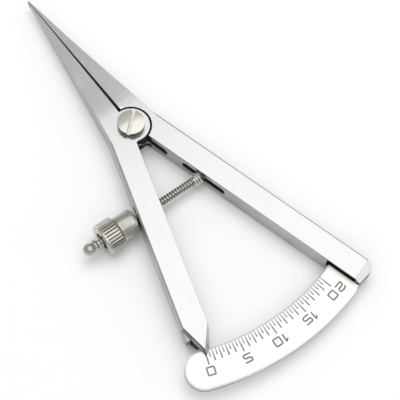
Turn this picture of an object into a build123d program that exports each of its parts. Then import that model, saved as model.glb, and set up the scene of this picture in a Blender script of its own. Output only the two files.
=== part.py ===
from build123d import *
import os
from math import sin, cos, tan, radians, degrees, asin, atan2, hypot, pi

# Bone caliper: two spring-loaded steel arms joined by a lap joint, an engraved
# 0-20 mm scale plate on one arm, a pointer on the other, and a threaded rod
# with a knurled thumb nut that sets the opening.
#
# Frame (mm): the pivot axis is x = y = 0, z = 0 is the underside of both arms,
# +X runs from the pivot to the closed jaw tips, +Z along the pivot towards the
# slotted screw head. The pointer arm's leg lies on the +Y side.

os.makedirs("parts", exist_ok=True)

# ---------------------------------------------------------------- dimensions
T = 4.3                  # thickness of both arms
HALF = T / 2             # the lap joint's mating plane
GAP = 0.02               # clearance between the lap joint's two discs
BETA = 16.3              # each leg's angle from the -X axis, jaws closed
T_IN, T_OUT = 0.25, 5.0  # a leg's inner and outer face, from the pivot line
JAW = 36.4               # pivot axis to jaw tips
SLIT = 0.30              # half gap between the jaws at the pivot
BOSS_R = 3.66            # lap joint disc
POCKET_R = 4.00          # pocket that the other arm's disc turns in
OPEN_MAX = 31.9          # arm swing from 0 to 20 mm at the tips, degrees
ARM_END = 52.8           # scale arm's length from the pivot, along its leg
PTR_VERTEX = 41.4        # where the pointer's wedge starts
PTR_TIP = 47.4           # pointer tip, from the pivot along the leg
PTR_TOP = 46.35          # tip of the pointer's top face
PTR_T = 2.48             # the tip's offset, which puts it on the 0 mark
SLOT_H = 1.9             # height of the slots in the arms' inner faces
PLATE_T = 1.4            # scale plate thickness
PLATE_TOP = T - 1.35     # its engraved face
R_IN, R_OUT = 46.05, 53.2    # scale plate's inner and outer arc
MARK_0 = 160.72          # bearing of the 0 mark from the pivot, degrees
ENGRAVE = 0.08           # depth of marks and numbers
SCREW_R, THREAD_R, HEAD_R = 1.5, 1.25, 2.65
HEAD_H = 1.2             # height of the screw head's upright side
ROD_R = 0.80             # adjusting rod (thread's outer radius)
PIN_S, PIN_T = 17.25, 2.6    # rod's anchor pin in the scale arm's leg
NUT_R = 3.10             # thumb nut over its knurl
SLEEVE_R = 2.52          # thrust sleeve
DOME_R = 4.5             # spherical end of the sleeve that bears on the arm
WIRE = 0.45              # spreader spring's wire


def leg(s, t, side):
    """Plan position s along a leg and t outward from the pivot line.
    side is -1 for the scale arm and +1 for the pointer arm."""
    b = radians(BETA)
    return (-s * cos(b) + t * sin(b), side * (s * sin(b) + t * cos(b)))


def leg_plane(t, side, z=HALF, s=0.0):
    """Plane parallel to a leg's side faces: local x along the leg, local y
    up, normal pointing to +Y, so inward on side -1 and outward on side +1."""
    b = radians(BETA)
    x, y = leg(s, t, side)
    d = (-cos(b), side * sin(b), 0)
    return Plane(origin=(x, y, z), x_dir=d, z_dir=(d[1], -d[0], 0))


def jaw_points(side):
    """Outer edge of a jaw from the tip back to the bend beside the pivot."""
    return [(JAW, side * 0.13), (29.3, side * 1.0), (24.24, side * 1.62),
            (19.4, side * 2.27), (14.77, side * 2.93), (10.2, side * 3.6),
            (0.49, side * 5.07)]


# jaw taper, seen from the side: drop of each broad face below the arm's face,
# an arc of three points that runs into a straight taper
TAPER = [(3.8, 0.0), (5.4, 0.0205), (7.0, 0.082), (JAW + 1, 1.64)]


def taper_edge(top):
    """The taper's points on the top or the bottom broad face."""
    return [(x, T - d if top else d) for x, d in TAPER]


PIN_X, PIN_Y = leg(PIN_S, PIN_T, -1)
ROD_END = 18.30          # y of the rod's far end

# lengths along the rod, from the sleeve's bearing on the pointer arm
OQ = hypot(PIN_S, PIN_T)
PQ_REST = 2 * -PIN_Y
CEN_REST = -PIN_Y + (DOME_R + T_OUT - PIN_T) / cos(radians(BETA))
APEX_Y = CEN_REST - DOME_R + 0.04      # sleeve's tip, clear of the arm's face
SLEEVE_END = 14.30                     # y of the sleeve's flat end
NUT_FACE, NUT_KNURL0, NUT_KNURL1, NUT_END = 14.32, 14.50, 17.30, 17.90

# ---------------------------------------------------------------- scale arm
with BuildPart() as scale_arm:
    with BuildSketch(Plane.XY):
        with BuildLine():
            inner = [(JAW, -0.015), (3.0, -SLIT), leg(0.5, T_IN, -1),
                     leg(ARM_END, T_IN, -1)]
            outer = [leg(ARM_END + 0.4, 3.75, -1), leg(ARM_END - 0.85, T_OUT, -1)]
            Polyline(*inner, *outer, *reversed(jaw_points(-1)), close=True)
        make_face()
    extrude(amount=T)
    # bevel across the end of the leg's top face
    with BuildSketch(leg_plane(-2, -1, z=0)):
        with BuildLine():
            Polyline((51.5, T + 0.01), (53.6, T + 0.01), (53.6, T - 1.45), close=True)
        make_face()
    extrude(amount=-9, mode=Mode.SUBTRACT)
    # narrow chamfer along the leg's outer top and bottom edges
    outer_edges = (scale_arm.faces()
                   .filter_by(lambda f: abs(f.normal_at().Z) < 0.01
                              and abs(f.normal_at().X - sin(radians(BETA))) < 0.01
                              and f.center().Y < -6)
                   .sort_by(SortBy.AREA)[-1].edges()
                   .filter_by(lambda e: abs(e.tangent_at(0.5).Z) < 0.01))
    chamfer(outer_edges, 0.28)
    # pocket for the pointer arm's disc, and this arm's own disc below it
    with BuildSketch(Plane.XY.offset(HALF - GAP / 2)):
        Circle(POCKET_R)
    extrude(amount=HALF + 1, mode=Mode.SUBTRACT)
    with BuildSketch(Plane.XY):
        Circle(BOSS_R)
    extrude(amount=HALF - GAP / 2)
    # taper of the jaw's two broad faces
    with BuildSketch(Plane.XZ):
        for top in (True, False):
            q, far = taper_edge(top), T + 1 if top else -1
            with BuildLine():
                ThreePointArc(*q[0:3])
                Polyline(*q[2:], (JAW + 1, far), (q[0][0], far), q[0])
            make_face()
    extrude(amount=10, both=True, mode=Mode.SUBTRACT)
    # round blend between the disc and the leg's inner face
    near = leg(3.74, T_IN, -1)
    root = [e for e in scale_arm.edges()
            if abs(e.tangent_at(0.5).Z) > 0.99 and hypot(e.center().X - near[0],
            e.center().Y - near[1]) < 0.5 and e.center().Z < HALF]
    if root:
        fillet(root, 0.55)
    # spring slot next to the pivot, then the rod's slot, in the inner face
    with BuildSketch(leg_plane(-1.0, -1)):
        with Locations((3.9, 0)):
            Rectangle(7.5, SLOT_H)
        with Locations((7.65, 0)):
            Circle(SLOT_H / 2)
    extrude(amount=-3.7, mode=Mode.SUBTRACT)
    with BuildSketch(leg_plane(T_IN - 0.5, -1)):
        with Locations((PIN_S, 0)):
            SlotOverall(10.1, SLOT_H)
    extrude(amount=-4.35, mode=Mode.SUBTRACT)
    # centre of the disc: keep the hub round the screw whole
    with BuildSketch(Plane.XY):
        Circle(1.9)
    extrude(amount=HALF - GAP / 2)
    # ring recess that the spring's coil lies in
    with BuildSketch(Plane.XY.offset(HALF - SLOT_H / 2)):
        Circle(2.8)
        Circle(1.9, mode=Mode.SUBTRACT)
    extrude(amount=3, mode=Mode.SUBTRACT)
    # tapped hole of the pivot screw
    with BuildSketch(Plane.XY):
        Circle(THREAD_R)
    extrude(amount=T, mode=Mode.SUBTRACT)
    # slot for the scale plate, with a relief above it that leaves a thin lip
    with BuildSketch(leg_plane(T_IN - 0.5, -1, z=0)):
        with Locations((50.2, PLATE_TOP - PLATE_T / 2)):
            Rectangle(9.2, PLATE_T)
    extrude(amount=-3.75, mode=Mode.SUBTRACT)
    with BuildSketch(leg_plane(T_IN - 0.5, -1, z=0)):
        with Locations((48.7, PLATE_TOP + 0.52)):
            Rectangle(6.2, 1.14)
        with Locations((53.1, PLATE_TOP + 0.11)):
            Rectangle(3.2, 0.32)
    extrude(amount=-1.6, mode=Mode.SUBTRACT)
    # blind hole of the anchor pin and the two plate rivets, from below
    with BuildSketch(Plane.XY):
        with Locations((PIN_X, PIN_Y)):
            Circle(0.5)
    extrude(amount=3.6, mode=Mode.SUBTRACT)
    with BuildSketch(Plane.XY):
        with Locations(leg(48.0, 2.1, -1), leg(50.7, 2.1, -1)):
            Circle(0.55)
    extrude(amount=PLATE_TOP + 0.5, mode=Mode.SUBTRACT)
scale_arm.part.label = "scale_arm"

# -------------------------------------------------------------- pointer arm
with BuildPart() as pointer_arm:
    with BuildSketch(Plane.XY) as outline:
        # blunt rounded end of the lower half, under the pointer's wedge
        with BuildLine():
            Polyline(*jaw_points(1), leg(45.3, T_OUT, 1), leg(45.3, 1.33, 1), leg(42.6, T_IN, 1),
                     leg(0.5, T_IN, 1), (3.0, SLIT), (JAW, 0.015), close=True)
        make_face()
        for corner, radius in ((leg(45.3, T_OUT, 1), 2.3), (leg(45.3, 1.33, 1), 0.9)):
            fillet(outline.vertices().sort_by_distance((*corner, 0))[0], radius)
    extrude(amount=T)
    # narrow chamfer along the leg's outer top and bottom edges
    outer_edges = (pointer_arm.faces()
                   .filter_by(lambda f: abs(f.normal_at().Z) < 0.01
                              and abs(f.normal_at().X - sin(radians(BETA))) < 0.01
                              and f.center().Y > 6)
                   .sort_by(SortBy.AREA)[-1].edges()
                   .filter_by(lambda e: abs(e.tangent_at(0.5).Z) < 0.01))
    chamfer(outer_edges, 0.28)
    # wedge of the pointer: above the fork's slot it replaces the blunt end
    with BuildSketch(Plane.XY.offset(PLATE_TOP + 0.2)):
        with BuildLine():
            Polyline(leg(PTR_VERTEX, T_IN - 1, 1), leg(PTR_VERTEX, T_OUT + 1, 1),
                     leg(PTR_TIP + 2, T_OUT + 1, 1), leg(PTR_TIP + 2, T_IN - 1, 1), close=True)
        make_face()
    extrude(amount=3, mode=Mode.SUBTRACT)
    # its end slopes outward, from the top face down to the tip on the scale
    for z, inner, flank, tip, t_out in ((PLATE_TOP + 0.2, (42.9, T_IN), (46.1, 1.48), (PTR_TIP, PTR_T), T_OUT),
                                        (T, (42.0, 0.32), (45.6, 2.06), (PTR_TOP, PTR_T - 0.06), T_OUT - 0.28)):
        with BuildSketch(Plane.XY.offset(z)):
            with BuildLine():
                Polyline(leg(PTR_VERTEX, T_IN, 1), leg(*inner, 1), leg(*flank, 1),
                         leg(*tip, 1), leg(PTR_VERTEX, t_out, 1), close=True)
            make_face()
    loft(ruled=True)
    # pocket for the scale arm's disc, and this arm's own disc above it
    with BuildSketch(Plane.XY.offset(-1)):
        Circle(POCKET_R)
    extrude(amount=HALF + 1 + GAP / 2, mode=Mode.SUBTRACT)
    with BuildSketch(Plane.XY.offset(HALF + GAP / 2)):
        Circle(BOSS_R)
    extrude(amount=HALF - GAP / 2)
    # taper of the jaw's two broad faces
    with BuildSketch(Plane.XZ):
        for top in (True, False):
            q, far = taper_edge(top), T + 1 if top else -1
            with BuildLine():
                ThreePointArc(*q[0:3])
                Polyline(*q[2:], (JAW + 1, far), (q[0][0], far), q[0])
            make_face()
    extrude(amount=10, both=True, mode=Mode.SUBTRACT)
    # round blend between the disc and the leg's inner face
    near = leg(3.74, T_IN, 1)
    root = [e for e in pointer_arm.edges()
            if abs(e.tangent_at(0.5).Z) > 0.99 and hypot(e.center().X - near[0],
            e.center().Y - near[1]) < 0.5 and e.center().Z > HALF]
    if root:
        fillet(root, 0.55)
    # spring slot next to the pivot
    with BuildSketch(leg_plane(-1.0, 1)):
        with Locations((3.9, 0)):
            Rectangle(7.5, SLOT_H)
        with Locations((7.65, 0)):
            Circle(SLOT_H / 2)
    extrude(amount=3.7, mode=Mode.SUBTRACT)
    # hub round the screw, ring recess for the spring, and the screw's bore
    with BuildSketch(Plane.XY.offset(HALF + GAP / 2)):
        Circle(1.9)
    extrude(amount=HALF - GAP / 2)
    with BuildSketch(Plane.XY.offset(HALF + SLOT_H / 2)):
        Circle(2.8)
        Circle(1.9, mode=Mode.SUBTRACT)
    extrude(amount=-3, mode=Mode.SUBTRACT)
    with BuildSketch(Plane.XY):
        Circle(SCREW_R + 0.03)
    extrude(amount=T + 1, mode=Mode.SUBTRACT)
    # slot that the rod passes through and swings in, counterbored inside
    # for the rod's coil spring at full opening
    with BuildSketch(leg_plane(-1, 1)):
        with Locations((17.6, 0)):
            SlotOverall(4.2, SLOT_H)
    extrude(amount=8, mode=Mode.SUBTRACT)
    with BuildSketch(leg_plane(T_IN - 0.5, 1)):
        with Locations((17.25, 0)):
            Circle(1.5)
    extrude(amount=2.0, mode=Mode.SUBTRACT)
    # fork that straddles the scale plate
    with BuildSketch(leg_plane(-2, 1, z=0)):
        with Locations((48.8, PLATE_TOP - PLATE_T / 2)):
            Rectangle(10, PLATE_T + 0.4)
    extrude(amount=9, mode=Mode.SUBTRACT)
pointer_arm.part.label = "pointer_arm"

# -------------------------------------------------------------- scale plate
def bearing(mm):
    """Bearing of a scale mark: the arm's swing for that tip opening."""
    return MARK_0 + degrees(2 * asin(mm / (2 * JAW)))


GLYPHS = {
    "0": [(-.5, -.38), (-.46, -.47), (-.38, -.5), (.38, -.5), (.46, -.47), (.5, -.38), (.5, .38),
          (.46, .47), (.38, .5), (-.38, .5), (-.46, .47), (-.5, .38), (-.5, -.38)],
    "1": [(.12, -.5), (.12, .5), (-.2, .24)],
    "2": [(-.5, .3), (-.4, .48), (-.3, .5), (.3, .5), (.44, .44), (.5, .3), (.5, .18), (.42, .06),
          (.28, .0), (-.28, .0), (-.43, -.05), (-.5, -.18), (-.5, -.5), (.5, -.5)],
    "5": [(.5, .5), (-.38, .5), (-.5, .4), (-.5, .18), (-.43, .05), (-.28, .0), (.28, .0),
          (.43, -.06), (.5, -.2), (.5, -.3), (.44, -.44), (.3, -.5), (-.5, -.5)],
}
LABELS = [("0", "0", 0.0, 50.11), ("5", "5", -0.03, 50.26), ("10", "1", -0.88, 50.34), ("10", "0", 0.73, 50.27),
          ("15", "1", -0.77, 50.40), ("15", "5", 0.78, 50.21), ("20", "2", -1.10, 50.33), ("20", "0", 1.11, 50.24)]
DIGIT_W, DIGIT_H, STROKE = 1.36, 1.42, 0.29
MARK_W = 0.25

with BuildPart() as scale_plate:
    with BuildSketch(Plane.XY.offset(PLATE_TOP - PLATE_T)):
        Circle(R_OUT)
        Circle(R_IN, mode=Mode.SUBTRACT)
        # keep the sector from the rounded left end to the scale arm's slot
        with BuildLine():
            Polyline((0, 0), (80 * cos(radians(159.5)), 80 * sin(radians(159.5))),
                     (-90, 0), leg(85, 3.45, -1), leg(0, 3.45, -1), close=True)
        make_face(mode=Mode.INTERSECT)
        rm = (R_IN + R_OUT) / 2
        with Locations((rm * cos(radians(159.5)), rm * sin(radians(159.5)))):
            Circle((R_OUT - R_IN) / 2)
        # the tongue stops short of the scale arm's end
        with BuildLine():
            Polyline(leg(52.6, 0.1, -1), leg(52.6, 5, -1), leg(55, 5, -1), leg(55, 0.1, -1), close=True)
        make_face(mode=Mode.SUBTRACT)
    extrude(amount=PLATE_T)
    # rounded top edge along the outer arc
    fillet([e for e in scale_plate.edges()
            if e.center().Z > PLATE_TOP - 0.01 and e.geom_type == GeomType.CIRCLE and abs(e.radius - R_OUT) < 0.01], 0.45)
    # small shallow nick in the outer edge, beside the scale arm's end
    nick = leg(53.2, -0.25, -1)
    with BuildSketch(Plane.XY):
        with Locations(Location((*nick, 0), (0, 0, degrees(atan2(nick[1], nick[0]))))):
            RectangleRounded(0.75, 0.85, 0.2)
    extrude(amount=T, mode=Mode.SUBTRACT)
    # half-millimetre marks, longer at each millimetre and at each fifth
    with BuildSketch(Plane.XY.offset(PLATE_TOP - ENGRAVE)):
        for i in range(41):
            v = i * 0.5
            r_end = 48.96 if i % 10 == 0 else (48.52 if i % 2 == 0 else 47.63)
            a = bearing(v)
            rc = (r_end + R_IN - 0.1) / 2
            with Locations(Location((rc * cos(radians(a)), rc * sin(radians(a)), 0), (0, 0, a))):
                Rectangle(r_end - R_IN + 0.1, MARK_W)
    extrude(amount=ENGRAVE + 0.1, mode=Mode.SUBTRACT)
    # numbers, with their tops outward
    for text, glyph, dx, r in LABELS:
        a = radians(bearing(float(text)))
        o = Vector(r * cos(a), r * sin(a), PLATE_TOP - ENGRAVE)
        right = Vector(sin(a), -cos(a), 0)
        pl = Plane(origin=o, x_dir=right, z_dir=(0, 0, 1))
        pts = [(dx + DIGIT_W * x, DIGIT_H * y) for x, y in GLYPHS[glyph]]
        with BuildSketch(pl):
            for (x0, y0), (x1, y1) in zip(pts, pts[1:]):
                with Locations(Location(((x0 + x1) / 2, (y0 + y1) / 2, 0),
                                        (0, 0, degrees(atan2(y1 - y0, x1 - x0))))):
                    SlotCenterToCenter(hypot(x1 - x0, y1 - y0), STROKE)
        extrude(amount=ENGRAVE + 0.1, mode=Mode.SUBTRACT)
    # rivet holes in the tongue
    with BuildSketch(Plane.XY):
        with Locations(leg(48.0, 2.1, -1), leg(50.7, 2.1, -1)):
            Circle(0.55)
    extrude(amount=T, mode=Mode.SUBTRACT)
scale_plate.part.label = "scale_plate"

# two flush rivets through the scale arm's lower lip and the plate's tongue
with BuildPart() as plate_rivets:
    with BuildSketch(Plane.XY):
        with Locations(leg(48.0, 2.1, -1), leg(50.7, 2.1, -1)):
            Circle(0.55)
    extrude(amount=PLATE_TOP + 0.45)
plate_rivets.part.label = "plate_rivets"

# -------------------------------------------------------------- pivot screw
with BuildPart() as pivot_screw:
    with BuildSketch(Plane.XZ):
        with BuildLine():
            Polyline((0, 0), (THREAD_R, 0), (THREAD_R, HALF - GAP / 2), (SCREW_R, HALF - GAP / 2),
                     (SCREW_R, T + 0.01), (HEAD_R, T + 0.01), (HEAD_R, T + HEAD_H))
            ThreePointArc((HEAD_R, T + HEAD_H), (HEAD_R * 0.52, T + HEAD_H + 0.22), (0, T + HEAD_H + 0.3))
            Line((0, T + HEAD_H + 0.3), (0, 0))
        make_face()
    revolve(axis=Axis.Z)
    # screwdriver slot
    with BuildSketch(Plane.XY.offset(T + 0.75).rotated((0, 0, 132.5))):
        Rectangle(8, 0.72)
    extrude(amount=2, mode=Mode.SUBTRACT)
pivot_screw.part.label = "pivot_screw"

# ---------------------------------------------------------- spreader spring
# torsion spring in the ring recess round the screw, one leg in each arm's
# slot; its coil is split in two nodes, one for each arm, each a straight leg
# and a flat turn that lie wholly in that arm's half of the lap joint
COIL_R = 2.35
Z_LO, Z_HI = HALF - 0.27, HALF + 0.27
TURN = 253.7                       # angle of each half's turn round the screw


def hook_points(side, z):
    """Leg's tail, where it meets the turn, then the turn's middle and end."""
    tail = leg(8.1, COIL_R, side)
    a0 = side * (90 - BETA)
    pts = [(tail[0], tail[1], z)]
    for a in (a0, a0 - side * TURN / 2, a0 - side * TURN):
        pts.append((COIL_R * cos(radians(a)), COIL_R * sin(radians(a)), z))
    return pts


with BuildPart() as spreader_spring:
    tail, start, mid, end = hook_points(-1, Z_LO)
    with BuildLine():
        Line(tail, start)
        ThreePointArc(start, mid, end)
    with BuildSketch(Plane(origin=tail, z_dir=(cos(radians(BETA)), sin(radians(BETA)), 0))):
        Circle(WIRE / 2)
    sweep()
spreader_spring.part.label = "spreader_spring"

with BuildPart() as spreader_spring_end:
    tail, start, mid, end = hook_points(1, Z_HI)
    with BuildLine():
        Line(tail, start)
        ThreePointArc(start, mid, end)
    with BuildSketch(Plane(origin=tail, z_dir=(cos(radians(BETA)), -sin(radians(BETA)), 0))):
        Circle(WIRE / 2)
    sweep()
spreader_spring_end.part.label = "spreader_spring_end"

# ------------------------------------------------------------ adjusting rod
# flat eye on the anchor pin, plain neck, then thread to the far end
with BuildPart() as adjusting_rod:
    with BuildSketch(Plane.XY.offset(HALF - 0.7)):
        with Locations((PIN_X, PIN_Y)):
            Circle(1.3)
        with Locations((PIN_X, PIN_Y + 1.0)):
            Rectangle(1.4, 2.0)
        with Locations((PIN_X, PIN_Y)):
            Circle(0.53, mode=Mode.SUBTRACT)
    extrude(amount=1.4)
    with BuildSketch(Plane.XZ.offset(-(PIN_Y + 1.45))):
        with Locations((PIN_X, HALF)):
            Circle(ROD_R)
    extrude(amount=-(ROD_END - PIN_Y - 1.45))
adjusting_rod.part.label = "adjusting_rod"

with BuildPart() as rod_pin:
    with BuildSketch(Plane.XY):
        with Locations((PIN_X, PIN_Y)):
            Circle(0.5)
    extrude(amount=3.55)
rod_pin.part.label = "rod_pin"

# short close-wound coil spring on the rod, beside the scale arm
RS_R, RS_WIRE, RS_PITCH, RS_Y0, RS_Y1 = 1.03, 0.36, 0.44, -4.38, -3.2
with BuildPart() as rod_spring:
    with BuildLine() as coil:
        Helix(RS_PITCH, RS_Y1 - RS_Y0, RS_R, center=(PIN_X, RS_Y0, HALF), direction=(0, 1, 0))
    with BuildSketch(Plane(origin=coil.line @ 0, z_dir=coil.line % 0)):
        Circle(RS_WIRE / 2)
    sweep(path=coil.line, is_frenet=True)
rod_spring.part.label = "rod_spring"

# ---------------------------------------------------- sleeve, nut, end stop
AXIS_ROD = Axis((PIN_X, 0, HALF), (0, 1, 0))
ROD_PL = Plane(origin=(PIN_X, 0, HALF), x_dir=(1, 0, 0), z_dir=(0, 0, 1))

with BuildPart() as thrust_sleeve:
    with BuildSketch(ROD_PL):
        cy = APEX_Y + DOME_R
        bore = ROD_R + 0.06
        y_b = cy - (DOME_R ** 2 - bore ** 2) ** 0.5
        y_m = cy - (DOME_R ** 2 - 1.2 ** 2) ** 0.5
        y_e = cy - (DOME_R ** 2 - (SLEEVE_R - 0.75) ** 2) ** 0.5
        with BuildLine():
            l1 = ThreePointArc((bore, y_b), (1.2, y_m), (SLEEVE_R - 0.75, y_e))
            l2 = ThreePointArc((SLEEVE_R - 0.75, y_e), (SLEEVE_R - 0.17, y_e + 0.42), (SLEEVE_R, y_e + 1.0))
            Polyline((SLEEVE_R, y_e + 1.0), (SLEEVE_R, SLEEVE_END - 0.12), (SLEEVE_R - 0.12, SLEEVE_END),
                     (bore, SLEEVE_END), (bore, y_b))
        make_face()
    revolve(axis=AXIS_ROD)
thrust_sleeve.part.label = "thrust_sleeve"

with BuildPart() as thumb_nut:
    with BuildSketch(ROD_PL):
        with BuildLine():
            Polyline((ROD_R + 0.02, NUT_FACE), (2.2, NUT_FACE), (2.2, NUT_KNURL0), (NUT_R - 0.15, NUT_KNURL0),
                     (NUT_R, NUT_KNURL0 + 0.15), (NUT_R, NUT_END - 0.18), (NUT_R - 0.18, NUT_END), (1.7, NUT_END),
                     (1.7, NUT_END - 0.9), (ROD_R + 0.02, NUT_END - 0.9), close=True)
        make_face()
    revolve(axis=AXIS_ROD)
    # straight knurl, which stops short of the plain rim
    with BuildSketch(Plane(origin=(PIN_X, NUT_KNURL0 - 0.05, HALF), x_dir=(1, 0, 0), z_dir=(0, 1, 0))):
        with PolarLocations(NUT_R, 30):
            Rectangle(0.64, 0.22)
    extrude(amount=NUT_KNURL1 + 0.05 - NUT_KNURL0, mode=Mode.SUBTRACT)
thumb_nut.part.label = "thumb_nut"

with BuildPart() as end_stop:
    with BuildSketch(ROD_PL):
        with BuildLine():
            Polyline((0, ROD_END), (ROD_R, ROD_END), (ROD_R, 17.55), (0.98, 17.55), (0.98, 18.3),
                     (0.76, 18.45), (0.76, 18.98))
            ThreePointArc((0.76, 18.98), (1.18, 19.42), (0.80, 19.83))
            ThreePointArc((0.80, 19.83), (1.20, 20.72), (0.62, 21.75))
            Polyline((0.62, 21.75), (0.3, 21.88), (0, 21.88), (0, ROD_END))
        make_face()
    revolve(axis=AXIS_ROD)
end_stop.part.label = "end_stop"

# ------------------------------------------------------------------- export
for p in (scale_arm, pointer_arm, scale_plate, plate_rivets, pivot_screw, spreader_spring,
          spreader_spring_end, adjusting_rod, rod_pin, rod_spring, thrust_sleeve, thumb_nut, end_stop):
    export_step(p.part, f"parts/{p.part.label}.step")
    bb = p.part.bounding_box()
    print(p.part.label, "solids", len(p.part.solids()), "valid", p.part.is_valid,
          "vol %.3f" % p.part.volume, "box", [round(v, 2) for v in (*bb.min, *bb.max)])
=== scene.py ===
import bpy, bmesh, math
from mathutils import Matrix, Vector


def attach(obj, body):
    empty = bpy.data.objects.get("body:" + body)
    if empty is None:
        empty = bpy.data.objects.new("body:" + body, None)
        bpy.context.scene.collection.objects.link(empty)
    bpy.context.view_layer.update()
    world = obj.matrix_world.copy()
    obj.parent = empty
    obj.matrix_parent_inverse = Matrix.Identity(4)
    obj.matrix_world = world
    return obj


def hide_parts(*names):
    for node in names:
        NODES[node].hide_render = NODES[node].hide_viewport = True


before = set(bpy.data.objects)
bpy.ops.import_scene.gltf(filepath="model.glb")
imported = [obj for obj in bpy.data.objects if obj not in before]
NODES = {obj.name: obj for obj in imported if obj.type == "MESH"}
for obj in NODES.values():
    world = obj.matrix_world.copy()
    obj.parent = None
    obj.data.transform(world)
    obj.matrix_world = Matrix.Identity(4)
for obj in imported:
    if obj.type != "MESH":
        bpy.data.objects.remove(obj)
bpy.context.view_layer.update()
scene = bpy.context.scene

# ------------------------------------------------------------ sizes, in mm
MM = 0.001
HALF = 2.15                 # mid-thickness of the arms, and the rod's height
BETA = math.radians(16.3)   # each leg's angle from the -X axis
PIN_X, PIN_Y = -15.827, -7.337
ROD_R, ROD_END = 0.80, 18.30
PLATE_TOP = 2.95
NUT_LOW = -0.95             # the nut's underside

# ----------------------------------------------------------------- camera
cam_data = bpy.data.cameras.new("camera")
cam_data.sensor_width = 36.0
cam_data.lens = 984.6875953 * 36.0 / 400.0
cam_data.clip_start, cam_data.clip_end = 0.01, 20.0
cam = bpy.data.objects.new("camera", cam_data)
scene.collection.objects.link(cam)
right = Vector((-0.60246430, -0.79607151, 0.05750569))
down = Vector((-0.74047732, 0.53059233, -0.41251074))
ahead = Vector((0.29787597, -0.29110465, -0.90913585))
rot = Matrix((right, -down, -ahead)).transposed().to_4x4()
cam.matrix_world = Matrix.Translation(Vector((-75.254719, 52.369627, 171.618574)) * MM) @ rot
scene.camera = cam


# -------------------------------------------------------------- materials
def ramp(nt, fac, stops):
    n = nt.nodes.new("ShaderNodeValToRGB")
    while len(n.color_ramp.elements) < len(stops):
        n.color_ramp.elements.new(0.5)
    for e, (p, c) in zip(n.color_ramp.elements, stops):
        e.position = p
        e.color = (*c, 1) if len(c) == 3 else c
    nt.links.new(fac, n.inputs[0])
    return n.outputs[0]


def noise(nt, vec, scale, detail=3.0, rough=0.5):
    n = nt.nodes.new("ShaderNodeTexNoise")
    n.inputs["Scale"].default_value = scale
    n.inputs["Detail"].default_value = detail
    n.inputs["Roughness"].default_value = rough
    nt.links.new(vec, n.inputs["Vector"])
    return n.outputs["Fac"]


def math_node(nt, op, a, b):
    n = nt.nodes.new("ShaderNodeMath")
    n.operation = op
    for i, v in enumerate((a, b)):
        if isinstance(v, (int, float)):
            n.inputs[i].default_value = v
        else:
            nt.links.new(v, n.inputs[i])
    return n.outputs[0]


def mix(nt, fac, a, b):
    n = nt.nodes.new("ShaderNodeMix")
    n.data_type = "RGBA"
    for sock, v in ((n.inputs["Factor"], fac), (n.inputs[6], a), (n.inputs[7], b)):
        if isinstance(v, tuple):
            sock.default_value = (*v, 1)
        elif isinstance(v, float):
            sock.default_value = v
        else:
            nt.links.new(v, sock)
    return n.outputs[2]


def between(nt, v, low, high):
    """1 where v lies between low and high, else 0."""
    return math_node(nt, "MULTIPLY", math_node(nt, "GREATER_THAN", v, low), math_node(nt, "LESS_THAN", v, high))


def ease(nt, v, start, end):
    """0 at start and 1 at end, eased and held outside them."""
    n = nt.nodes.new("ShaderNodeMapRange")
    n.interpolation_type = "SMOOTHSTEP"
    n.inputs["From Min"].default_value, n.inputs["From Max"].default_value = start, end
    nt.links.new(v, n.inputs["Value"])
    return n.outputs[0]


def along(nt, v, direction):
    """Distance of v along a direction."""
    n = nt.nodes.new("ShaderNodeVectorMath")
    n.operation = "DOT_PRODUCT"
    n.inputs[1].default_value = direction
    nt.links.new(v, n.inputs[0])
    return n.outputs["Value"]


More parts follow.
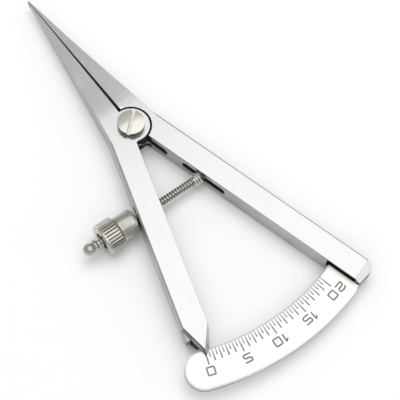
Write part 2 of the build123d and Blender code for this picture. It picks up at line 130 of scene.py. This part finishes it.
def painted_recess_shade(nt, obj, upright, side_sign, s_end):
    """Painted shade on an arm: near-black colour in the insides of its slots, the narrow
    gaps round the discs of the lap joint and, less so, the faces between the jaws."""
    mul = lambda a, b: math_node(nt, "MULTIPLY", a, b)
    t = along(nt, obj, (math.sin(BETA), side_sign * math.cos(BETA), 0))
    s = along(nt, obj, (-math.cos(BETA), side_sign * math.sin(BETA), 0))
    pos = nt.nodes.new("ShaderNodeSeparateXYZ")
    nt.links.new(obj, pos.inputs[0])
    x, y, z = pos.outputs
    slots = mul(mul(ease(nt, t, 0.30 * MM, 0.55 * MM), math_node(nt, "LESS_THAN", t, 4.72 * MM)),
                mul(between(nt, z, 0.33 * MM, 3.97 * MM), between(nt, s, 2.6 * MM, s_end * MM)))
    flat = nt.nodes.new("ShaderNodeCombineXYZ")
    nt.links.new(x, flat.inputs[0])
    nt.links.new(y, flat.inputs[1])
    r = nt.nodes.new("ShaderNodeVectorMath")
    r.operation = "LENGTH"
    nt.links.new(flat.outputs[0], r.inputs[0])
    rings = mul(upright, math_node(nt, "SUBTRACT", 1.0, ease(nt, r.outputs["Value"], 4.7 * MM, 5.0 * MM)))
    jaws = mul(mul(upright, 0.45), mul(between(nt, x, 2.0 * MM, 36.2 * MM),
                            math_node(nt, "LESS_THAN", math_node(nt, "ABSOLUTE", y, 0.0), 0.33 * MM)))
    both = math_node(nt, "MAXIMUM", math_node(nt, "MAXIMUM", slots, rings), jaws)
    if side_sign > 0:
        # painted shade inside the pointer's fork, and on the wedge's outer flank above it
        mouth = between(nt, math_node(nt, "ADD", t, mul(s, 0.515)), 26.15 * MM, 26.75 * MM)
        fork = mul(mul(between(nt, z, 1.30 * MM, 3.20 * MM), between(nt, s, 43.6 * MM, 45.7 * MM)),
                   mul(math_node(nt, "GREATER_THAN", t, 0.6 * MM), math_node(nt, "ADD", mul(mouth, 0.5), 0.45)))
        slant = math_node(nt, "ADD", t, math_node(nt, "ADD", mul(s, 0.44), mul(z, 0.24)))
        flank = mul(mul(between(nt, z, 3.12 * MM, 4.27 * MM), math_node(nt, "GREATER_THAN", s, 41.45 * MM)),
                    mul(math_node(nt, "GREATER_THAN", slant, 23.822 * MM),
                        math_node(nt, "ADD", 0.44, mul(0.36, math_node(nt, "MAXIMUM", ease(nt, z, 3.70 * MM, 4.10 * MM),
                                                                       ease(nt, s, 45.8 * MM, 46.9 * MM))))))
        both = math_node(nt, "MAXIMUM", both, math_node(nt, "MAXIMUM", fork, flank))
    else:
        # painted shade in the narrow gap above the plate
        gap = mul(mul(between(nt, z, 1.50 * MM, 3.24 * MM), between(nt, s, 45.0 * MM, 52.7 * MM)),
                  math_node(nt, "GREATER_THAN", t, 0.40 * MM))
        both = math_node(nt, "MAXIMUM", both, gap)
        # painted shade on the cut end of the leg
        both = math_node(nt, "MAXIMUM", both, mul(mul(upright, 0.4), math_node(nt, "GREATER_THAN", s, 52.4 * MM)))
    return both


def steel(name, light, dark, rough=(0.16, 0.27), angle=0.0, streak=(300, 9000, 9000),
          mottle=120, bump=0.04, wear_and_highlight=None, ink=None, pits=0.0, side=None, root_shade=None,
          worn_highlight=(0.00012, 0.7), arm=None, flank_shade=None):
    """Ground metal: streaks along one direction, soft tonal mottling, a
    changing roughness, fine scratches as bump and lighter edges, partly wear and partly a
    painted highlight. side darkens faces that stand upright, as a factor: partly a duller
    ground finish, partly painted shade; arm adds painted shade on slanted faces and in the
    arm's slots and gaps. The root shade argument paints shade on what lies close to the rod's
    axis, such as roots of thread and knurl, and the flank shade argument on what lies well to the side of it."""
    m = bpy.data.materials.new(name)
    m.use_nodes = True
    nt = m.node_tree
    bsdf = nt.nodes["Principled BSDF"]
    bsdf.inputs["Metallic"].default_value = 1.0
    tc = nt.nodes.new("ShaderNodeTexCoord")
    obj = tc.outputs["Object"]
    turn = nt.nodes.new("ShaderNodeMapping")
    turn.vector_type = "POINT"
    turn.inputs["Rotation"].default_value = (0, 0, -angle)
    nt.links.new(obj, turn.inputs["Vector"])
    lay = nt.nodes.new("ShaderNodeMapping")
    lay.inputs["Scale"].default_value = streak
    nt.links.new(turn.outputs[0], lay.inputs["Vector"])
    lines = noise(nt, lay.outputs[0], 1.0, 4.0, 0.65)
    spots = noise(nt, obj, mottle, 4.0, 0.6)
    fine = noise(nt, obj, mottle * 9, 3.0, 0.6)
    tone = math_node(nt, "ADD", math_node(nt, "MULTIPLY", lines, 0.5),
                     math_node(nt, "ADD", math_node(nt, "MULTIPLY", spots, 0.35), math_node(nt, "MULTIPLY", fine, 0.15)))
    col = ramp(nt, tone, [(0.34, dark), (0.64, light)])
    # upright faces darker: partly a duller ground finish, partly painted shade
    if side:
        face = nt.nodes.new("ShaderNodeNewGeometry")
        split = nt.nodes.new("ShaderNodeSeparateXYZ")
        nt.links.new(face.outputs["Normal"], split.inputs[0])
        upright = math_node(nt, "SUBTRACT", 1.0, ease(nt, math_node(nt, "ABSOLUTE", split.outputs[2], 0.0), 0.15, 0.6))
        # painted shade: slanted faces, such as the bevelled arrises, turn dark grey
        if arm:
            slant = between(nt, math_node(nt, "ABSOLUTE", split.outputs[2], 0.0), 0.30, 0.78)
            col = mix(nt, math_node(nt, "MULTIPLY", slant, 0.9 if arm[0] < 0 else 0.35), col, (0.20, 0.20, 0.195))
        dull_and_shaded = mix(nt, ease(nt, spots, 0.35, 0.65), tuple(c * side * 0.86 for c in dark), tuple(c * side for c in light))
        col = mix(nt, upright, col, dull_and_shaded)
    # painted shade: darker near the rod's axis, in roots of thread and knurl, and on the rod's flanks
    if root_shade:
        r0, r1, y0, y1, root_shade_col = root_shade
        pos = nt.nodes.new("ShaderNodeSeparateXYZ")
        nt.links.new(obj, pos.inputs[0])
        flat = nt.nodes.new("ShaderNodeCombineXYZ")
        nt.links.new(math_node(nt, "SUBTRACT", pos.outputs[0], PIN_X * MM), flat.inputs[0])
        nt.links.new(math_node(nt, "SUBTRACT", pos.outputs[2], HALF * MM), flat.inputs[2])
        dist = nt.nodes.new("ShaderNodeVectorMath")
        dist.operation = "LENGTH"
        nt.links.new(flat.outputs[0], dist.inputs[0])
        low = math_node(nt, "SUBTRACT", 1.0, ease(nt, dist.outputs["Value"], r0 * MM, r1 * MM))
        if flank_shade:
            aside = math_node(nt, "ABSOLUTE", math_node(nt, "SUBTRACT", pos.outputs[0], PIN_X * MM), 0.0)
            off = ease(nt, aside, flank_shade[0] * MM, flank_shade[1] * MM)
            col = mix(nt, math_node(nt, "MULTIPLY", off, flank_shade[2]), col, tuple(c * 0.45 for c in root_shade_col))
        col = mix(nt, math_node(nt, "MULTIPLY", low, between(nt, pos.outputs[1], y0 * MM, y1 * MM)), col, root_shade_col)
    if wear_and_highlight:
        # lighter arrises, partly wear and partly a painted highlight: the rounded normal leaves the flat one near an
        # edge
        bev = nt.nodes.new("ShaderNodeBevel")
        bev.samples = 6
        bev.inputs["Radius"].default_value = worn_highlight[0]
        geo = nt.nodes.new("ShaderNodeNewGeometry")
        dot = nt.nodes.new("ShaderNodeVectorMath")
        dot.operation = "DOT_PRODUCT"
        nt.links.new(bev.outputs[0], dot.inputs[0])
        nt.links.new(geo.outputs["Normal"], dot.inputs[1])
        edge = ramp(nt, dot.outputs["Value"], [(0.80, (worn_highlight[1],) * 3), (0.985, (0, 0, 0))])
        col = mix(nt, edge, col, wear_and_highlight)
    if arm:
        # painted shade: where the mask is set the arm turns near black, loses its metal and grows rougher
        painted_shade_mask = painted_recess_shade(nt, obj, upright, *arm)
        col = mix(nt, painted_shade_mask, col, (0.020, 0.019, 0.018))
        nt.links.new(math_node(nt, "SUBTRACT", 1.0, painted_shade_mask), bsdf.inputs["Metallic"])
    if ink:
        # dark filling of the engraving: floors of the grooves only
        z0, z1, r_low, r_high, ink_col = ink
        sep = nt.nodes.new("ShaderNodeSeparateXYZ")
        nt.links.new(obj, sep.inputs[0])
        geo2 = nt.nodes.new("ShaderNodeNewGeometry")
        sepn = nt.nodes.new("ShaderNodeSeparateXYZ")
        nt.links.new(geo2.outputs["Normal"], sepn.inputs[0])
        under = math_node(nt, "LESS_THAN", sep.outputs[2], z1)
        over = math_node(nt, "GREATER_THAN", sep.outputs[2], z0)
        up = math_node(nt, "GREATER_THAN", sepn.outputs[2], 0.5)
        flat2 = nt.nodes.new("ShaderNodeCombineXYZ")
        nt.links.new(sep.outputs[0], flat2.inputs[0])
        nt.links.new(sep.outputs[1], flat2.inputs[1])
        far = nt.nodes.new("ShaderNodeVectorMath")
        far.operation = "LENGTH"
        nt.links.new(flat2.outputs[0], far.inputs[0])
        mask = math_node(nt, "MULTIPLY", math_node(nt, "MULTIPLY", under, over),
                         math_node(nt, "MULTIPLY", up, between(nt, far.outputs["Value"], r_low, r_high)))
        past = along(nt, obj, (-math.sin(math.radians(159.6)), math.cos(math.radians(159.6)), 0))
        fade = math_node(nt, "ADD", 0.42, math_node(nt, "MULTIPLY", 0.58, ease(nt, far.outputs["Value"], r_low, r_low + 1.9 * MM)))
        mask = math_node(nt, "MULTIPLY", mask, math_node(nt, "MULTIPLY", math_node(nt, "GREATER_THAN", past, 0.0), fade))
        patch = ramp(nt, noise(nt, obj, 2600, 2.0), [(0.3, ink_col), (0.75, tuple(min(1, c * 1.9) for c in ink_col))])
        col = mix(nt, mask, col, patch)
        nt.links.new(math_node(nt, "MULTIPLY", 0.3, math_node(nt, "SUBTRACT", 1.0, mask)), bsdf.inputs["Metallic"])
        # painted shade: the plate's top under the scale arm's lip turns near black
        lip_shade_reach = along(nt, obj, (math.sin(BETA), -math.cos(BETA), 0))
        col = mix(nt, math_node(nt, "GREATER_THAN", lip_shade_reach, 0.12 * MM), col, (0.020, 0.018, 0.012))
    nt.links.new(col, bsdf.inputs["Base Color"])
    rg = nt.nodes.new("ShaderNodeMapRange")
    rg.inputs["From Min"].default_value, rg.inputs["From Max"].default_value = 0.3, 0.7
    rg.inputs["To Min"].default_value, rg.inputs["To Max"].default_value = rough
    nt.links.new(tone, rg.inputs["Value"])
    gloss = rg.outputs[0]
    # rougher where the painted shade lies
    if arm:
        gloss = math_node(nt, "MAXIMUM", gloss, math_node(nt, "MULTIPLY", painted_shade_mask, 0.85))
    nt.links.new(gloss, bsdf.inputs["Roughness"])
    bp = nt.nodes.new("ShaderNodeBump")
    bp.inputs["Strength"].default_value = bump
    bp.inputs["Distance"].default_value = 0.00004
    nt.links.new(math_node(nt, "ADD", lines, math_node(nt, "MULTIPLY", fine, pits)), bp.inputs["Height"])
    nt.links.new(bp.outputs[0], bsdf.inputs["Normal"])
    return m


LIGHT, DARK = (0.85, 0.84, 0.825), (0.77, 0.757, 0.745)
WEAR_AND_HIGHLIGHT = (0.93, 0.93, 0.92)
THIN = (0.00006, 0.35)
# arms: upright faces partly duller finish, partly painted shade; slots, gaps and slanted faces painted shade
m_scale_arm = steel("scale_arm_steel", LIGHT, DARK, rough=(0.18, 0.30), angle=BETA, wear_and_highlight=WEAR_AND_HIGHLIGHT, side=0.60,
                    worn_highlight=THIN, arm=(-1, 51.9))
m_pointer_arm = steel("pointer_arm_steel", LIGHT, DARK, rough=(0.18, 0.30), angle=-BETA, wear_and_highlight=WEAR_AND_HIGHLIGHT, side=0.60,
                      worn_highlight=THIN, arm=(1, 41.2))
# the plate's upright edge darker: painted shade
m_plate = steel("plate_steel", (0.90, 0.895, 0.88), (0.84, 0.83, 0.815), rough=(0.28, 0.40), angle=math.radians(90),
                streak=(400, 7000, 7000), wear_and_highlight=WEAR_AND_HIGHLIGHT, side=0.42, worn_highlight=THIN,
                ink=((PLATE_TOP - 0.12) * MM, (PLATE_TOP - 0.03) * MM, 46.07 * MM, 52.6 * MM, (0.12, 0.10, 0.08)))
# the screw head's upright wall near black: painted shade
m_screw = steel("screw_steel", (0.86, 0.85, 0.77), (0.72, 0.70, 0.63), rough=(0.21, 0.30), angle=math.radians(40),
                streak=(500, 5000, 5000), mottle=420, bump=0.03, wear_and_highlight=(0.92, 0.90, 0.86), side=0.05)
m_nickel = steel("adjuster_nickel", (0.64, 0.63, 0.565), (0.42, 0.41, 0.36), rough=(0.18, 0.32), mottle=500,
                 streak=(2500, 500, 2500), bump=0.05, wear_and_highlight=(0.84, 0.82, 0.75), pits=0.8)
# near-black knurl grooves on the nut: painted shade
m_nut = steel("nut_nickel", (0.70, 0.685, 0.62), (0.49, 0.475, 0.42), rough=(0.18, 0.32), mottle=500,
              streak=(2500, 500, 2500), bump=0.05, wear_and_highlight=(0.84, 0.82, 0.75), pits=0.8,
              root_shade=(2.82, 3.05, 14.53, 17.32, (0.10, 0.094, 0.08)))
# darker thread roots and rod flanks: painted shade
m_rod = steel("rod_steel", (0.76, 0.745, 0.695), (0.52, 0.50, 0.455), rough=(0.14, 0.26), mottle=700,
              streak=(3000, 900, 3000), bump=0.05, wear_and_highlight=(0.88, 0.86, 0.80), pits=0.5,
              root_shade=(0.59, 0.69, PIN_Y + 1.9, ROD_END, (0.30, 0.28, 0.24)), flank_shade=(0.40, 0.66, 0.75))
m_spring = steel("spring_wire", (0.97, 0.96, 0.92), (0.82, 0.80, 0.75), rough=(0.14, 0.26), mottle=800,
                 streak=(2500, 2500, 2500), bump=0.03, wear_and_highlight=(0.9, 0.88, 0.84))
m_rivet = steel("rivet_steel", (0.80, 0.79, 0.77), (0.66, 0.65, 0.63), mottle=500, streak=(2000, 2000, 2000), wear_and_highlight=WEAR_AND_HIGHLIGHT)


# ------------------------------------------------------------ mesh helpers
def put(obj, mat, body, node):
    obj.data.materials.clear()
    obj.data.materials.append(mat)
    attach(obj, body)
    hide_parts(node)
    return obj


def finished(node, name, mat, body, bevel=0.05, sharp=28, segments=2, merge=0.4):
    """The node's own solid with its seams welded, its arrises broken by a
    small bevel and its round faces shaded smooth."""
    me = NODES[node].data.copy()
    me.name = name
    bm = bmesh.new()
    bm.from_mesh(me)
    bmesh.ops.remove_doubles(bm, verts=bm.verts, dist=2e-7)
    bmesh.ops.dissolve_limit(bm, angle_limit=math.radians(merge), verts=bm.verts, edges=bm.edges)
    bm.to_mesh(me)
    bm.free()
    me.polygons.foreach_set("use_smooth", [True] * len(me.polygons))
    me.set_sharp_from_angle(angle=math.radians(sharp))
    o = bpy.data.objects.new(name, me)
    scene.collection.objects.link(o)
    if bevel:
        b = o.modifiers.new("arris", "BEVEL")
        b.width = bevel * MM
        b.segments = segments
        b.limit_method = "ANGLE"
        b.angle_limit = math.radians(30)
        b.use_clamp_overlap = merge >= 0.1
        if merge < 0.1:
            # the broad faces stay true right up to their soft bends
            w = o.modifiers.new("true_faces", "WEIGHTED_NORMAL")
            w.mode, w.weight, w.keep_sharp = "FACE_AREA", 100, True
        else:
            b.harden_normals = True
    return put(o, mat, body, node)


def mesh_object(name, verts, faces, smooth=True, sharp=40):
    me = bpy.data.meshes.new(name)
    me.from_pydata([tuple(c * MM for c in v) for v in verts], [], faces)
    bm = bmesh.new()
    bm.from_mesh(me)
    bmesh.ops.recalc_face_normals(bm, faces=bm.faces)
    bm.to_mesh(me)
    bm.free()
    if smooth:
        me.polygons.foreach_set("use_smooth", [True] * len(me.polygons))
        me.set_sharp_from_angle(angle=math.radians(sharp))
    o = bpy.data.objects.new(name, me)
    scene.collection.objects.link(o)
    return o


# ------------------------------------------------------- arms and the plate
A, B = "scale_arm_group", "pointer_arm_group"
R, S, N = "adjusting_rod_group", "thrust_sleeve_group", "thumb_nut_group"
finished("scale_arm", "scale_arm_look", m_scale_arm, A, 0.07, merge=0.04)
finished("pointer_arm", "pointer_arm_look", m_pointer_arm, B, 0.055, merge=0.04)
finished("pivot_screw", "pivot_screw_look", m_screw, A, 0.06)
finished("thrust_sleeve", "thrust_sleeve_look", m_nickel, S, 0.05)
finished("thumb_nut", "thumb_nut_look", m_nut, N, 0.03, segments=1)
finished("end_stop", "end_stop_look", m_nickel, R, 0.04)
for n, m in (("scale_plate", m_plate), ("plate_rivets", m_rivet), ("rod_pin", m_rivet),
             ("spreader_spring", m_spring), ("spreader_spring_end", m_spring)):
    NODES[n].data.materials.clear()
    NODES[n].data.materials.append(m)


# ------------------------------------------------------------ threaded rod
def threaded_rod():
    pitch, root, seg = 0.6, 0.58, 48
    y0, y1 = PIN_Y + 1.45, ROD_END
    step = pitch / 14
    n = int(round((y1 - y0) / step))
    rows = []
    for i in range(n + 1):
        y = y0 + (y1 - y0) * i / n
        row = []
        for k in range(seg):
            a = 2 * math.pi * k / seg
            ph = (y / pitch - k / seg) % 1.0
            h = abs(2 * ph - 1)                       # 1 on the crest, 0 in the root
            h = min(1.0, max(0.0, (h - 0.10) / 0.74))
            h = h * h * (3 - 2 * h)
            # the thread runs out into a plain neck at the eye
            fade = min(1.0, max(0.0, (y - y0 - 0.5) / 0.7))
            r = (root + (ROD_R - root) * h) * fade + 0.62 * (1 - fade)
            row.append((PIN_X + r * math.sin(a), y, HALF + r * math.cos(a)))
        rows.append(row)
    verts = [v for row in rows for v in row]
    faces = []
    for i in range(n):
        for k in range(seg):
            a, b = i * seg + k, i * seg + (k + 1) % seg
            faces.append((a, b, b + seg, a + seg))
    for i, y in ((0, y0), (n, y1)):
        c = len(verts)
        verts.append((PIN_X, y, HALF))
        for k in range(seg):
            faces.append((c, i * seg + k, i * seg + (k + 1) % seg))
    # flat eye round the anchor pin, with its neck towards the thread
    base, m = len(verts), 72
    for z in (HALF - 0.7, HALF + 0.7):
        for k in range(m):
            a = 2 * math.pi * k / m
            dx, dy = math.cos(a), math.sin(a)
            reach = 1.3
            if dy > 0:
                reach = max(reach, min(0.7 / max(abs(dx), 1e-6), 2.0 / dy))
            verts.append((PIN_X + 0.53 * dx, PIN_Y + 0.53 * dy, z))
            verts.append((PIN_X + reach * dx, PIN_Y + reach * dy, z))
    for k in range(m):
        j = (k + 1) % m
        lo, lj, hi, hj = base + 2 * k, base + 2 * j, base + 2 * m + 2 * k, base + 2 * m + 2 * j
        faces += [(lo, lo + 1, lj + 1, lj), (hi, hj, hj + 1, hi + 1),
                  (lo, lj, hj, hi), (lo + 1, hi + 1, hj + 1, lj + 1)]
    return mesh_object("threaded_rod", verts, faces, sharp=60)


put(threaded_rod(), m_rod, R, "adjusting_rod")


# --------------------------------------------- coil spring beside the arm
def tube(name, path, radius, seg=12):
    """Closed round tube along a list of points, in millimetres."""
    pts = [Vector(p) for p in path]
    verts, faces = [], []
    t_prev, normal = None, None
    for i, p in enumerate(pts):
        t = (pts[min(i + 1, len(pts) - 1)] - pts[max(i - 1, 0)]).normalized()
        if normal is None:
            normal = t.orthogonal().normalized()
        else:
            normal = t_prev.rotation_difference(t) @ normal
            normal = (normal - t * normal.dot(t)).normalized()
        t_prev = t
        side = t.cross(normal)
        for k in range(seg):
            a = 2 * math.pi * k / seg
            verts.append(tuple(p + (normal * math.cos(a) + side * math.sin(a)) * radius))
    for i in range(len(pts) - 1):
        for k in range(seg):
            a, b = i * seg + k, i * seg + (k + 1) % seg
            faces.append((a, b, b + seg, a + seg))
    for i, p in ((0, pts[0]), (len(pts) - 1, pts[-1])):
        c = len(verts)
        verts.append(tuple(p))
        for k in range(seg):
            faces.append((c, i * seg + k, i * seg + (k + 1) % seg))
    return mesh_object(name, verts, faces, sharp=60)


def fanned_coil():
    turns, per = 3.0, 60
    path = []
    for i in range(int(turns * per) + 1):
        u = i / (turns * per)
        a = 2 * math.pi * i / per
        r = 1.02 + 0.06 * (1 - u)
        dx, dz = r * math.sin(a), r * math.cos(a)
        tilt = 0.285 * (1 - u)
        y = -4.66 + 1.46 * u + dx * tilt
        path.append((PIN_X + dx, y, HALF + dz))
    return tube("rod_coil", path, 0.185)


put(fanned_coil(), m_spring, R, "rod_spring")

# ---------------------------------------------------- floor, light and air
# The tool rests on the scale arm's outer lower edge and on the nut, which is
# wider than the arms are thick, so the floor is tilted by that small angle.
out = Vector((math.sin(BETA), -math.cos(BETA), 0))
edge_t = 4.72
reach = out.dot(Vector((PIN_X, 14.65, 0)))
slope = -NUT_LOW / (edge_t - reach)
normal = Vector((-slope * out.x, -slope * out.y, 1)).normalized()
origin = out * edge_t * MM - normal * 0.00004
bpy.ops.mesh.primitive_plane_add(size=6.0, location=origin)
floor = bpy.context.object
floor.name = "floor"
floor.rotation_euler = normal.to_track_quat("Z", "Y").to_euler()
m_floor = bpy.data.materials.new("floor_white")
m_floor.use_nodes = True
fb = m_floor.node_tree.nodes["Principled BSDF"]
fb.inputs["Base Color"].default_value = (0.93, 0.935, 0.935, 1)
fb.inputs["Roughness"].default_value = 0.7
fb.inputs["Specular IOR Level"].default_value = 0.2
floor.data.materials.append(m_floor)

world = bpy.data.worlds.new("studio")
scene.world = world
world.use_nodes = True
world.node_tree.nodes["Background"].inputs[0].default_value = (1.0, 1.0, 1.0, 1)
world.node_tree.nodes["Background"].inputs[1].default_value = 0.50


def softbox(name, at, size, aim, radiance, colour=(1, 1, 1)):
    d = bpy.data.lights.new(name, "AREA")
    d.shape = "RECTANGLE"
    d.size, d.size_y = size
    d.energy = radiance * math.pi * size[0] * size[1]
    d.color = colour
    o = bpy.data.objects.new(name, d)
    scene.collection.objects.link(o)
    o.location = at
    o.rotation_euler = (Vector(aim) - Vector(at)).to_track_quat("-Z", "Y").to_euler()
    return o


# the panels' +X edge falls just past what the arms' flat faces reflect, so
# that the tapered jaws see beyond it and turn grey; in two steps, to soften it
for name, edge, power in (("key", 0.203, 0.72), ("key_inner", 0.135, 0.26)):
    key = softbox(name, ((edge - 0.44) / 2, -0.12, 0.40), (edge + 0.44, 0.60), ((edge - 0.44) / 2, -0.12, 0.0), power)
    key.visible_diffuse = False
# overhead light for the floor, leaning to the picture's upper side, so that
# the shadows are short and fall towards its lower side
wash = softbox("wash", (0.17, -0.13, 0.75), (0.55, 0.55), (-0.02, 0.0, 0.0), 2.2)
wash.visible_glossy = False
# broad light that lifts the floor's shadows
broad = softbox("broad", (-0.10, 0.05, 0.90), (1.7, 1.7), (0.0, 0.0, 0.0), 0.54)
broad.visible_glossy = False
# low panel that the bevel at the scale arm's end reflects
softbox("low_fill", (-0.40, -0.33, 0.18), (0.30, 0.24), (-0.05, -0.017, 0.0), 0.55)

scene.view_settings.view_transform = "Standard"
scene.view_settings.look = "None"
scene.view_settings.exposure = 0.0
